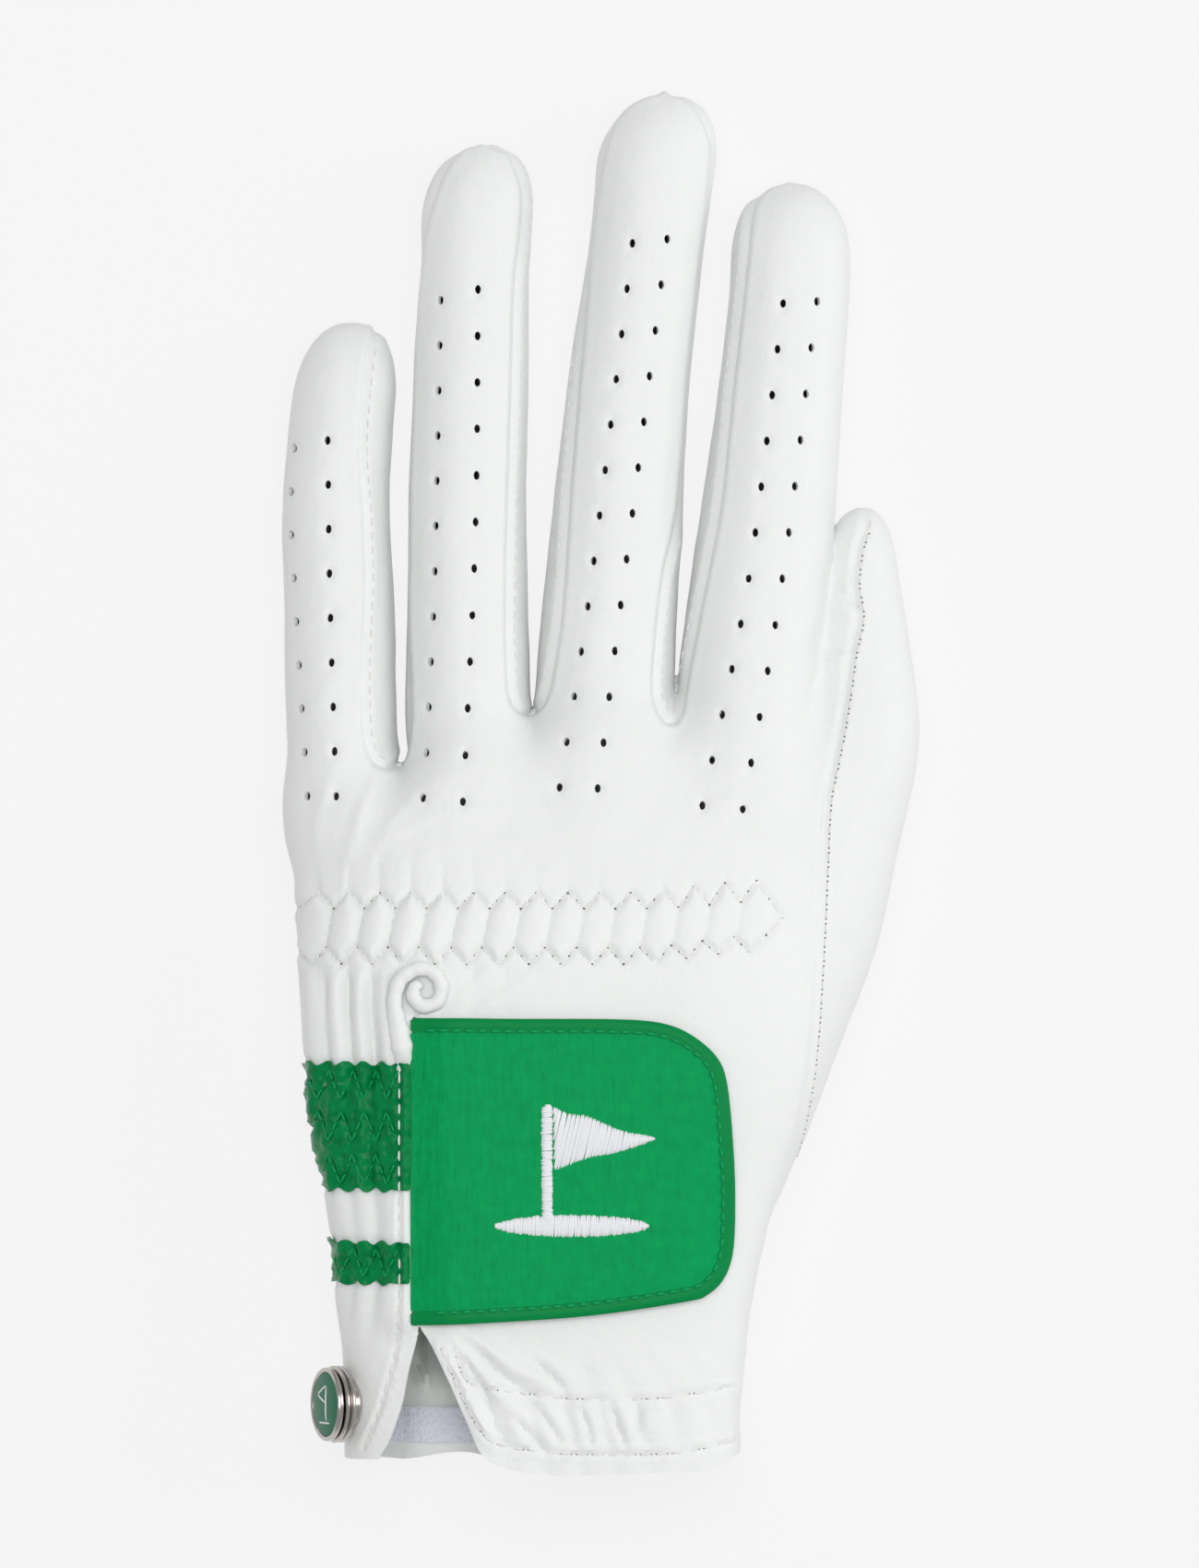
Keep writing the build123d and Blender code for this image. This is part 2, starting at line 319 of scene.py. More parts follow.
def make(name, v, faces, material, smooth=40, under=None):
    """A Blender mesh from millimetres. under is (material, first face, last face) for a second finish."""
    mesh = bpy.data.meshes.new(name)
    faces = faces.tolist() if isinstance(faces, np.ndarray) else faces
    mesh.from_pydata((np.asarray(v) / 1000).tolist(), [], faces)
    mesh.materials.append(material)
    if under:
        mesh.materials.append(under[0])
        index = np.zeros(len(mesh.polygons), np.int32)
        index[under[1]:under[2]] = 1
        mesh.polygons.foreach_set("material_index", index)
    mesh.shade_smooth()
    if smooth:
        mesh.set_sharp_from_angle(angle=math.radians(smooth))
    obj = bpy.data.objects.new(name, mesh)
    bpy.context.scene.collection.objects.link(obj)
    return obj


def shell(name, mesh, top, bottom, material, direction=None, smooth=40, inside=None):
    """A closed skin on a mesh, from top to bottom above it (arrays or numbers), along its normals."""
    v, t = mesh
    n = normals(v) if direction is None else direction
    top, bottom = np.broadcast_to(top, len(v)), np.broadcast_to(bottom, len(v))
    e = boundary(t)
    k = len(v)
    a, b = e.T
    rim = np.concatenate([np.stack([b, a, a + k], 1), np.stack([b, a + k, b + k], 1)])
    both = np.concatenate([v + n * top[:, None], v + n * bottom[:, None]])
    under = (inside, len(t), 2 * len(t)) if inside else None
    return make(name, both, np.concatenate([t, t[:, ::-1] + k, rim]), material, smooth, under)


# ---- plan curves
def spline(points, step=0.8, closed=False):
    """Points evenly along a smooth curve through the given ones."""
    p = np.array(points, float)
    before, after = (p[-1:], p[:2]) if closed else (2 * p[:1] - p[1:2], 2 * p[-1:] - p[-2:-1])
    p = np.concatenate([before, p, after])
    out = []
    for a, b, c, d in zip(p, p[1:], p[2:], p[3:]):
        t = np.linspace(0, 1, 12, endpoint=False)[:, None]
        out.append(0.5 * (2 * b + (c - a) * t + (2 * a - 5 * b + 4 * c - d) * t**2
                          + (3 * b - a - 3 * c + d) * t**3))
    out = np.concatenate(out + ([out[0][:1]] if closed else [p[-2:-1]]))
    return along(out, step)


def travelled(line):
    """The way gone along a polyline at each of its points."""
    return np.concatenate([[0], np.cumsum(np.linalg.norm(np.diff(line, axis=0), axis=1))])


def along(p, step):
    """Resamples a polyline to even steps."""
    d = travelled(p)
    n = max(int(round(d[-1] / step)), 2)
    s = np.linspace(0, d[-1], n + 1)
    return np.stack([np.interp(s, d, p[:, k]) for k in range(p.shape[1])], 1)


FAR = 1e9
AT_ONCE = 20000  # points measured in one go, to save memory


def line_distance(line, x, y):
    """Distance in plan from points to a polyline."""
    best = np.full(len(x), FAR)
    (ax, ay), (dx, dy) = line[:-1].T, np.diff(line, axis=0).T
    long = np.maximum(dx * dx + dy * dy, 1e-9)
    for start in range(0, len(x), AT_ONCE):
        some = slice(start, start + AT_ONCE)
        px, py = x[some, None], y[some, None]
        t = np.clip(((px - ax) * dx + (py - ay) * dy) / long, 0, 1)
        best[some] = np.sqrt(((px - ax - t * dx) ** 2 + (py - ay - t * dy) ** 2).min(1))
    return best


def area_distance(outline, x, y):
    """Signed distance in plan to a closed outline, negative inside."""
    p = np.concatenate([outline, outline[:1]])
    inside = np.zeros(len(x), bool)
    for (x0, y0), (x1, y1) in zip(p, p[1:]):
        if y0 != y1:
            inside ^= ((y0 > y) != (y1 > y)) & (x < (x1 - x0) * (y - y0) / (y1 - y0) + x0)
    return np.where(inside, -1, 1) * line_distance(p, x, y)


# ---- seams in plan
FORKS = {
    "little_ring": [(-33.8, 76.5), (-36.6, 73.6), (-38.1, 66.3), (-38.9, 54.2), (-38.2, 43), (-37.9, 32),
                    (-38.4, 18), (-38.2, 9), (-37.2, 4), (-34.9, 2), (-32.4, 3.4), (-31.2, 8),
                    (-31.2, 16), (-31.7, 30), (-31.4, 52), (-30.7, 75), (-28.7, 90), (-25.8, 99),
                    (-22.5, 103.6), (-18.6, 105.2), (-19, 112), (-30, 112)],
    "ring_middle": [(-18.4, 105.2), (-14.8, 102.6), (-12.3, 96), (-12.7, 88), (-13.7, 79),
                    (-14.4, 51.3), (-14.9, 29.1), (-14.7, 16), (-13.8, 12.2), (-12, 10.9), (-9.8, 11.8),
                    (-8.5, 14.6), (-7.4, 21), (-6.4, 29), (-5.2, 46), (-3.9, 62.4), (-2.7, 77.5),
                    (-1.6, 90), (0.7, 103), (2.8, 108.4), (6.4, 111.6), (10.2, 113.4), (8, 118),
                    (-12, 118)],
    "middle_index": [(11.2, 113.4), (15.4, 110.6), (18.4, 104.6), (18.3, 97), (16.5, 82), (14.9, 67),
                     (13.9, 52), (12.7, 42), (10.8, 34), (9.8, 26), (9.1, 15.5), (9.9, 11.2),
                     (11.7, 9.4), (13.1, 11.2), (14, 16.6), (17.5, 34.6), (19.5, 46), (21.6, 65),
                     (23.6, 82.7), (24.9, 93), (27.2, 97), (30.8, 98.8), (30, 104), (18, 116)],
}
FORKS = {name: spline(points, closed=True) for name, points in FORKS.items()}
THUMB_SEAM = spline([(43.3, 47), (43.4, 43), (43.4, 41), (42.2, 37.4), (41.6, 31.6), (42.3, 26.4),
                     (41.1, 20.5), (40.2, 14.1), (39.1, 7.5), (37.9, 1.6), (36.8, -4), (36.2, -16),
                     (35.6, -30), (34.6, -44), (32.6, -56), (30, -66)])
THUMB_AREA = np.concatenate([THUMB_SEAM, [(60, -66), (60, 60), (43.3, 60)]])
CUFF = table([(-60, -110.6), (-36, -110.2), (-20, -109.8), (-17.2, -110.9), (-12.3, -112.2), (-1, -112.6),
              (10.6, -112.2), (19.2, -111.4), (22, -109.8), (30, -109)])
V_LEFT = spline([(-29.2, -86), (-29.4, -88.8), (-29.7, -91), (-31, -96), (-32.1, -101.3),
                 (-34.2, -107), (-36, -110), (-38, -116)])
V_RIGHT = spline([(-28.8, -86), (-28.9, -88.8), (-27.3, -91.4), (-24.5, -97.2), (-21.5, -104.1),
                  (-19.2, -109.2), (-16.9, -111.4), (-12, -118)])
NOTCH = np.concatenate([V_LEFT, V_RIGHT[::-1]])
SLIT = np.array([(-30.25, -38.4), (-29.6, -38.4), (-29.6, -87.0), (-30.25, -87.0)])

# knuckle stitching: two zigzag rows closing in a point, with pillows between them
PITCH, PEAKS = 5.11, 15
VALLEY = (-43.4, -20.9)  # the upper row's first low corner
UPPER = [(-49.4, VALLEY[1])]
LOWER = [(-49.8, -27.4)]
for i in range(PEAKS):
    rise = 2.0 * ramp(i, 10, 14)
    UPPER += [(-46.0 + PITCH * i, -18.3 + rise), (VALLEY[0] + PITCH * i, VALLEY[1] + 0.6 * rise)]
    LOWER += [(-47.2 + PITCH * i, -29.9 + rise), (-44.6 + PITCH * i, -27.1 + rise)]
POINT = (29.9, -22.4)
UPPER, LOWER = UPPER[:-1] + [POINT], LOWER[:-1] + [POINT]
SMOCK = np.array(UPPER + LOWER[:-1][::-1])
ROWS = np.array(UPPER + LOWER[::-1])

BANDS = {"band_wide": (-46.0, -66.5), "band_narrow": (-75.0, -81.6)}
FLAP_STITCH = spline([(-32.2, -40), (-32.2, -62), (-32.1, -84), (-32.9, -92), (-34.6, -98.5),
                      (-36, -103), (-38.4, -108.4)])
HEM_UPPER = spline([(-23.2, -93.5), (-20.9, -97.8), (-12, -99.4), (-2, -100.4), (8.4, -100.3),
                    (22, -98.6)])
HEM_LOWER = spline([(-25.6, -92.2), (-22.4, -99.6), (-19.2, -105.6), (-15.6, -107.9), (-5.4, -109.2),
                    (5, -109.4), (14, -108.9), (22.5, -107.3)])
CREASES = [spline(points) for points in (
    [(-24.7, -90.5), (-20.7, -95.5), (-18.9, -98.4), (-17.2, -103.9), (-15.5, -107.9)],
    [(-19.8, -92.5), (-16.3, -96), (-12.4, -98.6)], [(-14.1, -103), (-11, -106.5), (-8.9, -108.5)],
    [(-11, -93.8), (-7.5, -96.9), (-5.3, -99.5)], [(-9.7, -102.4), (-7.6, -105), (-6.3, -107.6)],
    [(-3.2, -101.2), (-2, -104.6), (-1.4, -107.8)], [(1.7, -100.8), (3, -104.8), (4.3, -108.3)],
    [(6.2, -101.7), (6.4, -104), (6.2, -106.5)], [(39.2, 31), (40.8, 29.6), (42, 28.6)])]

# perforations: each row from the fingertip to the knuckle, with its middle and how many holes it has
HOLES = []
for row, count in (
        ([(-50.1, 54.2), (-50.5, 40.5), (-47.7, -2.6)], 9),
        ([(-44.4, 55.4), (-44.0, 30.0), (-42.9, -2.6)], 9),
        ([(-26.1, 78.3), (-27.0, 32.6), (-28.7, -2.9)], 12),
        ([(-19.8, 80.0), (-20.2, 40.0), (-22.2, -3.5)], 12),
        ([(5.3, 87.5), (-1.0, 35.6), (-6.5, -1.2)], 13),
        ([(11.1, 88.2), (4.4, 35.6), (-0.3, -1.4)], 13),
        ([(29.9, 77.7), (24.2, 32.6), (16.7, -4.1)], 12),
        ([(35.6, 78.0), (29.6, 31.0), (23.3, -4.7)], 12)):
    line = along(spline(row), 0.5)
    far = travelled(line)
    at = np.linspace(0, far[-1], count)
    HOLES += list(zip(np.interp(at, far, line[:, 0]), np.interp(at, far, line[:, 1])))
HOLES = np.array(HOLES)
HOLE_HALF = (0.5, 0.75)


def hole_distance(x, y):
    """Distance in plan to the rim of the nearest perforation, negative inside it."""
    best = np.full(len(x), FAR)
    for hx, hy in HOLES:
        near = np.flatnonzero((np.abs(x - hx) < 4) & (np.abs(y - hy) < 4))
        share = np.sqrt(((x[near] - hx) / HOLE_HALF[0]) ** 2 + ((y[near] - hy) / HOLE_HALF[1]) ** 2)
        best[near] = np.minimum(best[near], (share - 1) * 0.6)
    return best


def waves(x, y, seed, size):
    """Soft unevenness between about -1 and 1, with folds about size long."""
    rng = np.random.default_rng(seed)
    out, count = 0, 7
    for _ in range(count):
        angle, phase = rng.uniform(0, 2 * np.pi), rng.uniform(0, 2 * np.pi)
        k = rng.uniform(0.7, 1.5) * 2 * np.pi / size
        out = out + np.sin(k * (x * np.cos(angle) + y * np.sin(angle)) + phase)
    return out / count * 1.6


def welt(d, width=0.7, depth=0.4, shoulder=0.18):
    """A sewn groove with a soft rise on each side of it."""
    return -depth * np.exp(-(d / width) ** 2) + shoulder * np.exp(-((np.abs(d) - 2.0 * width) / width) ** 2)


def folds(x, y, pitch, sway, seed):
    """Upright gathers: ridges along Y that wander and vary in height."""
    drift = waves(x * 0.3, y, seed, 26) * sway
    ridge = 0.5 + 0.5 * np.cos(2 * np.pi * (x + drift) / pitch)
    return (ridge ** 0.7 - 0.55) * (1 + 0.45 * waves(x, y, seed + 1, 14))


def turned_plan(x, y, x0, y0, turn):
    """Plan coordinates along and across a line through (x0, y0) at an angle."""
    c, s = math.cos(turn), math.sin(turn)
    return (x - x0) * c + (y - y0) * s, -(x - x0) * s + (y - y0) * c


# x, y, angle, half length and height of the soft folds at the finger roots, thumb and cuff
SOFT_FOLDS = [(-38, -3, 1.2, 9, 0.35), (-33, -6, 0.9, 8, 0.30), (-46, -8, 1.5, 9, 0.35),
              (-41, -12, 1.4, 8, 0.35), (-27, -6, 0.3, 8, 0.22), (-24, -11, 0.1, 7, 0.18),
              (-17, -36, 0.7, 9, 0.35), (-21, -34, 0.9, 6, 0.3), (39.5, -13, 1.45, 14, 0.25),
              (40, 20, 0.2, 3, 0.4), (40, 27, -0.5, 3, 0.5), (28, -100, -1.2, 9, 0.25)]


def relief(p):
    """How far the leather stands off the plain form: seams, gathers, pillows and folds."""
    x, y, z = p.T
    top = ramp(z, 9, 14)
    out = 0.16 * waves(x, y, 3, 34) + 0.05 * waves(x, y, 4, 11)
    under_notch = np.exp(-((x + 25) / 15) ** 2) * ramp(-y, 78, 101) * (1 - ramp(z, 2, 14))
    out -= 10.5 * under_notch  # the palm's leather stands up there
    for outline in FORKS.values():
        near = (x > outline[:, 0].min() - 4) & (x < outline[:, 0].max() + 4) & (y < outline[:, 1].max() + 4)
        near &= (y > outline[:, 1].min() - 4) & (z > 6)
        d = line_distance(np.concatenate([outline, outline[:1]]), x[near], y[near])
        out[near] += welt(d, 0.55, 0.42, 0.20)
    d = line_distance(THUMB_SEAM, x, y)
    out += top * welt(d, 0.6, 0.4 - 0.28 * ramp(-y, 5, 25), 0.16) * ramp(y, -66, -56)

    # knuckle pillows, strongest on the side of the little finger
    near = np.flatnonzero((y < -4) & (y > -48) & (z > 14))
    u, w = x[near], y[near]
    s = area_distance(SMOCK, u, w)
    d = line_distance(ROWS, u, w)
    strong = 0.38 + 0.55 * ramp(-u, 2, 40)
    lean = (u - VALLEY[0] + 1.2 * np.clip((VALLEY[1] - w) / 6.2, 0, 1)) / PITCH
    pillow = np.abs(np.sin(np.pi * lean)) ** 0.6
    inside = np.clip(-s / 1.3, 0, 1) ** 0.5
    gather = np.exp(-np.maximum(s, 0) / (2.5 + 4 * ramp(-u, 5, 40))) * (s > 0)
    out[near] += strong * inside * (1.15 * pillow - 0.25) - (0.30 + 0.25 * strong) * np.exp(-(d / 0.42) ** 2)
    fan = np.abs(np.sin(np.pi * (u - VALLEY[0] + 2.55) / PITCH)) ** 0.7 - 0.4
    out[near] += 0.55 * strong * gather * fan * ramp(d, 0.2, 1.2)

    # gathers down the side of the little finger, drawn in under the bands
    side = ramp(-x, 30.5, 33.5) * ramp(-y, 29.5, 33.5) * (1 - ramp(-y, 84, 97)) * ramp(z, 14, 22)
    deep = 1.25 - 0.7 * ramp(-y, 45, 50)
    out += side * deep * folds(x, y, 3.9, 1.0, 21)
    banded = sum(ramp(-y, -a - 1.5, -a) * (1 - ramp(-y, -b, -b + 1.5)) for a, b in BANDS.values())
    out -= 0.35 * ramp(-x, 31, 34) * top * banded

    # flap over the tab's sewn end, with the slit down its middle
    flap = ramp(x, -36.5, -32.8) * (x < -29.9) * ramp(-y, 36, 41) * (1 - ramp(-y, 86, 92)) * top
    out += 1.5 * flap
    edge = np.minimum(np.abs(x + 30.2), 9) + 9 * ((y > -37) | (y < -88))
    out -= 0.5 * np.exp(-(edge / 0.7) ** 2) * flap
    out += top * welt(line_distance(FLAP_STITCH, x, y), 0.4, 0.32, 0.16)

    # cuff: turned hem, ripples, and folds that run from the notch
    cuff = top * ramp(x, -29, -22) * ramp(-y, 90, 97)
    ripple = (0.35 + 0.65 * ramp(-y, 99, 101)) * (1 - 0.6 * ramp(-y, 107, 109))
    out += cuff * 0.42 * folds(x + 0.30 * y, y, 5.6, 1.8, 33) * ripple
    for line in CREASES:
        d, middle = line_distance(line, x, y), line[len(line) // 2]
        half = np.linalg.norm(line[-1] - line[0]) / 2 + 1.0
        fade = np.clip(1 - ((x - middle[0]) ** 2 + (y - middle[1]) ** 2) / half**2, 0, 1)
        out += top * fade * (0.32 * np.exp(-((d - 1.4) / 1.1) ** 2) - 0.5 * np.exp(-(d / 0.45) ** 2))
    for hem in (HEM_UPPER, HEM_LOWER):
        out += top * welt(line_distance(hem, x, y), 0.4, 0.30, 0.16)
    for k, turn in enumerate((-0.62, -0.86, -1.08)):
        way, across = turned_plan(x, y, -29, -86, turn)
        ridge = np.exp(-((across + 0.8 * k - 1.5) / 1.3) ** 2)
        out += top * 0.95 * ridge * ramp(way, 2, 8) * (1 - ramp(way, 15, 27))
    for fx, fy, turn, long, high in SOFT_FOLDS:
        way, across = turned_plan(x, y, fx, fy, turn)
        out += top * high * np.exp(-(way / long) ** 2 - ((across + 0.02 * way * way) / 0.9) ** 2)
    return out


def detail(p):
    """The edge length that the mesh needs at a place."""
    x, y, z = p.T
    size = np.full(len(x), 1.8)
    up = z > 11
    seam = np.full(len(x), 9.0)
    for outline in FORKS.values():
        seam = np.minimum(seam, line_distance(np.concatenate([outline, outline[:1]]), x, y))
    for line in (THUMB_SEAM, FLAP_STITCH, HEM_UPPER, HEM_LOWER, *CREASES):
        seam = np.minimum(seam, np.where(up, line_distance(line, x, y), 9))
    size = np.where((seam < 1.6) & (z > 7), 0.66, size)
    size = np.where(up & (y < -14) & (y > -33) & (x < 32), 0.6, size)
    size = np.where(up & (x < -29) & (y < -28) & (y > -86), 0.62, size)
    size = np.where(up & (y < -86), 0.75, size)
    size = np.where(up & (hole_distance(x, y) < 0.5), 0.4, size)
    return size * FINE


# ---- finishes
def finish_of(name, colour, rough, fine=(), metal=0.0, sheen=0.0, tint=0.0, tint_size=60, shine=0.5):
    """A surface with a base colour, an uneven tint, and bumps as (kind, size per metre, height, stretch)."""
    m = bpy.data.materials.new(name)
    m.use_nodes = True
    nodes, links = m.node_tree.nodes, m.node_tree.links
    skin = nodes["Principled BSDF"]
    skin.inputs["Base Color"].default_value = (*colour, 1)
    skin.inputs["Roughness"].default_value = rough
    skin.inputs["Metallic"].default_value = metal
    skin.inputs["Sheen Weight"].default_value = sheen
    skin.inputs["Specular IOR Level"].default_value = shine
    coords = nodes.new("ShaderNodeTexCoord")
    if tint:
        noise, mix = nodes.new("ShaderNodeTexNoise"), nodes.new("ShaderNodeMix")
        mix.data_type = "RGBA"
        noise.inputs["Scale"].default_value = tint_size
        links.new(coords.outputs["Object"], noise.inputs["Vector"])
        links.new(noise.outputs["Fac"], mix.inputs["Factor"])
        mix.inputs["A"].default_value = (*[c * (1 - tint) for c in colour], 1)
        mix.inputs["B"].default_value = (*[min(c * (1 + tint), 1) for c in colour], 1)
        links.new(mix.outputs["Result"], skin.inputs["Base Color"])
    last = None
    for kind, size, height, stretch in fine:
        scale, bump = nodes.new("ShaderNodeMapping"), nodes.new("ShaderNodeBump")
        scale.inputs["Scale"].default_value = stretch
        links.new(coords.outputs["Object"], scale.inputs["Vector"])
        tex = nodes.new({"noise": "ShaderNodeTexNoise", "cells": "ShaderNodeTexVoronoi"}[kind])
        tex.inputs["Scale"].default_value = size
        links.new(scale.outputs["Vector"], tex.inputs["Vector"])
        links.new(tex.outputs["Fac" if kind == "noise" else "Distance"], bump.inputs["Height"])
        bump.inputs["Distance"].default_value = height
        bump.inputs["Strength"].default_value = 1.0
        if last:
            links.new(last.outputs["Normal"], bump.inputs["Normal"])
        last = bump
    if last:
        links.new(last.outputs["Normal"], skin.inputs["Normal"])
    return m


EVEN = (1, 1, 1)
KID = finish_of("kid leather", (0.80, 0.812, 0.803), 0.5,
                [("noise", 260, 0.00022, EVEN), ("noise", 2600, 0.00004, EVEN)], tint=0.012, shine=0.35)
INSIDE = finish_of("suede inside", (0.60, 0.61, 0.60), 0.9, [("noise", 1800, 0.0001, EVEN)])
GREEN = finish_of("green leather", (0.0, 0.305, 0.084), 0.6, [("noise", 900, 0.0003, (1, 0.2, 1))], tint=0.18,
                  tint_size=500, shine=0.08)
TRIM = finish_of("green edge", (0.0, 0.225, 0.055), 0.5, [("noise", 900, 0.0001, EVEN)], shine=0.1)
# the bands' strong tint is painted light and shade: lighter and darker green speckles stand in for glints and
# shading on the quilted film
GLINT_PAINTED_FILM = finish_of("green film with painted glints", (0.0, 0.20, 0.055), 0.3, [("noise", 420, 0.00045, EVEN)], tint=0.4,
                 tint_size=520, shine=0.1)
THREAD = finish_of("white thread", (0.76, 0.76, 0.75), 0.6, shine=0.2)
GREEN_THREAD = finish_of("green thread", (0.0, 0.30, 0.09), 0.5, shine=0.2)
SATIN = finish_of("satin thread", (0.80, 0.81, 0.84), 0.35, sheen=0.2)
TERRY = finish_of("terry", (0.85, 0.85, 0.96), 0.9, [("noise", 1500, 0.0006, EVEN)], sheen=0.3)
LINING = finish_of("lining", (0.78, 0.82, 0.79), 0.8, [("noise", 300, 0.0004, EVEN)])
HOOKS = finish_of("hook tape", (0.75, 0.76, 0.76), 0.6, [("cells", 1400, 0.0005, EVEN)])
NICKEL = finish_of("nickel", (0.50, 0.47, 0.44), 0.2, metal=1.0)
STEEL = finish_of("plated steel", (0.45, 0.45, 0.46), 0.35, metal=1.0)
ENAMEL = finish_of("enamel", (0.0, 0.135, 0.06), 0.25, shine=0.2)
# painted shade: a dark finish for the dots that stand in for the shade inside the needle holes
SHADOW = finish_of("painted needle-hole shade", (0.16, 0.16, 0.155), 0.9)

# ---- leather panels
whole = surface_net((-58, -119, -2), (58, 118, 40), STEP)
x, y, z = whole[0].T
# the palm's cuff ends a little higher than the back's, and lower under the notch
palm_edge = (1 - ramp(z, 12, 20)) * (2.6 * ramp(x, -14, -8) - 1.2 * np.exp(-((x + 31) / 12) ** 2))
whole = cut(whole, CUFF(x)[0] - y + palm_edge)[0]
whole = refine(*whole, detail)


def part(mesh, field):
    """The piece of a mesh where the field of its vertices is negative, and the rest."""
    return cut(mesh, field(*mesh[0].T)) if len(mesh[0]) else (mesh, mesh)


def thumb_first(x, y, z):
    """Negative where the thumb is nearer than the hand."""
    body, thumb = fields(x, y, z)
    return thumb - body


panels = {}
rest = whole
for name, outline in FORKS.items():
    panels[f"fourchette_{name}"], rest = part(
        rest, lambda x, y, z: np.maximum(area_distance(outline, x, y), 5.0 - z))
panels["thumb_outer_panel"], rest = part(
    rest, lambda x, y, z: np.maximum(area_distance(THUMB_AREA, x, y), 9.0 - z))
panels["thumb_inner_panel"], rest = part(
    rest, lambda x, y, z: np.maximum(thumb_first(x, y, z), np.minimum(z - 9.0, 14 - y)))
back, palm = part(rest, lambda x, y, z: 10.0 - z)
back = part(back, lambda x, y, z: -np.maximum(area_distance(NOTCH, x, y), 12 - z))[0]
back = part(back, lambda x, y, z: -area_distance(SLIT, x, y))[0]
back = part(back, lambda x, y, z: -np.where(z > 8, hole_distance(x, y), 9))[0]
panels["back_panel"], panels["palm_panel"] = back, palm

LEATHER = 0.8


def place(piece, body, slot_name, *nodes):
    """Gives a piece its body and hides the nodes it stands in for; slot_name is not used."""
    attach(piece, body)
    if nodes:
        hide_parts(*nodes)
    return piece


for name, mesh in panels.items():
    v, t = mesh
    v = on_surface(v, 1)
    high = relief(v)
    if name == "back_panel":
        high = high - 0.2 * np.exp(-(np.maximum(hole_distance(v[:, 0], v[:, 1]), 0) / 0.5) ** 2)
    piece = shell(name + ".look", (v, t), high, high - LEATHER, KID, inside=INSIDE)
    place(piece, "glove", "white_leather", name)


# ---- placing on leather
def top_of(plan):
    """Places on the plain form above plan points."""
    x, y = plan.T
    low, found = np.full(len(x), 8.0), np.zeros(len(x), bool)
    for level in np.arange(40, 8, -0.8):
        hit = ~found & (glove(x, y, np.full(len(x), level)) < 0)
        low[hit] = level
        found |= hit
    high = low + 0.8
    for _ in range(9):
        middle = (low + high) / 2
        inside = glove(x, y, middle) < 0
        low, high = np.where(inside, middle, low), np.where(inside, high, middle)
    return np.stack([x, y, low], 1)


def on_leather(plan, lift=0.0):
    """Places on the finished leather above plan points, raised by lift, and the way up there."""
    p = top_of(np.asarray(plan, float))
    n = normals(p)
    return p + n * (relief(p) + lift)[:, None], n


def aside(line, distance):
    """A plan line moved to its left."""
    d = np.gradient(line, axis=0)
    d /= np.maximum(np.linalg.norm(d, axis=1), 1e-9)[:, None]
    return line + np.stack([-d[:, 1], d[:, 0]], 1) * distance


def dashes(line, pitch, length):
    """Stitches along a plan line, as pairs of plan points."""
    far = travelled(line)
    start = np.arange(0, far[-1] - length, pitch)
    ends = np.stack([start, start + length], 1)
    return np.stack([np.interp(ends, far, line[:, k]) for k in (0, 1)], -1)


def threads(name, a, b, up, radius, material, sides=6, dip=0.7):
    """Short threads from a to b, their ends drawn in."""
    way = b - a
    way = way / np.maximum(np.linalg.norm(way, axis=1), 1e-9)[:, None]
    across = np.cross(way, up)
    across /= np.maximum(np.linalg.norm(across, axis=1), 1e-9)[:, None]
    high = np.cross(across, way)
    share = [0, 0.1, 0.3, 0.7, 0.9, 1]
    fat = [0.4, 0.85, 1, 1, 0.85, 0.4]
    sink = [-dip * 1.3, -dip * 0.5, 0.1, 0.1, -dip * 0.5, -dip * 1.3]
    rings = []
    for s, f, d in zip(share, fat, sink):
        for k in range(sides):
            turn = 2 * math.pi * k / sides
            rings.append(a + (b - a) * s + across * (radius * f * math.cos(turn))
                         + high * (radius * (f * math.sin(turn) + d)))
    v = np.stack(rings, 1).reshape(-1, 3)
    n = len(share) * sides
    faces = []
    for r in range(len(share) - 1):
        for k in range(sides):
            i, j = r * sides + k, r * sides + (k + 1) % sides
            faces += [(i, i + sides, j + sides), (i, j + sides, j)]
    for k in range(1, sides - 1):
        faces += [(0, k, k + 1), (n - sides, n - sides + k + 1, n - sides + k)]
    faces = (np.array(faces)[None] + (np.arange(len(a)) * n)[:, None, None]).reshape(-1, 3)
    return make(name, v, faces, material, 0)


def sew(name, ends, radius=0.17, lift=0.02, material=THREAD, slot_name="white_leather"):
    """Threads between pairs of plan points, lying on the leather."""
    ends = np.concatenate(ends) if isinstance(ends, list) else ends
    lift = lift(ends[:, 0, 1]) if callable(lift) else lift
    a, n = on_leather(ends[:, 0], lift)
    b, _ = on_leather(ends[:, 1], lift)
    good = (a[:, 2] > 11) & (b[:, 2] > 11) & (np.linalg.norm(b - a, axis=1) < 3.2)
    return place(threads(name, a[good], b[good], n[good], radius, material), "glove", slot_name)


# finger and thumb seams
ends = []
for outline in FORKS.values():
    line = aside(np.concatenate([outline, outline[:1]]), 0.95)
    ends.append(dashes(line, 2.3, 1.5))
sew("finger_seam_stitches", ends, 0.15)
thumb_ends = dashes(aside(THUMB_SEAM, 0.9), 2.3, 1.5)
hem_ends = np.concatenate([dashes(HEM_UPPER, 2.6, 1.8), dashes(HEM_LOWER, 2.6, 1.8)])
sew("thumb_seam_stitches", thumb_ends, 0.17)
sew("hem_stitches", hem_ends, 0.2, 0.08)
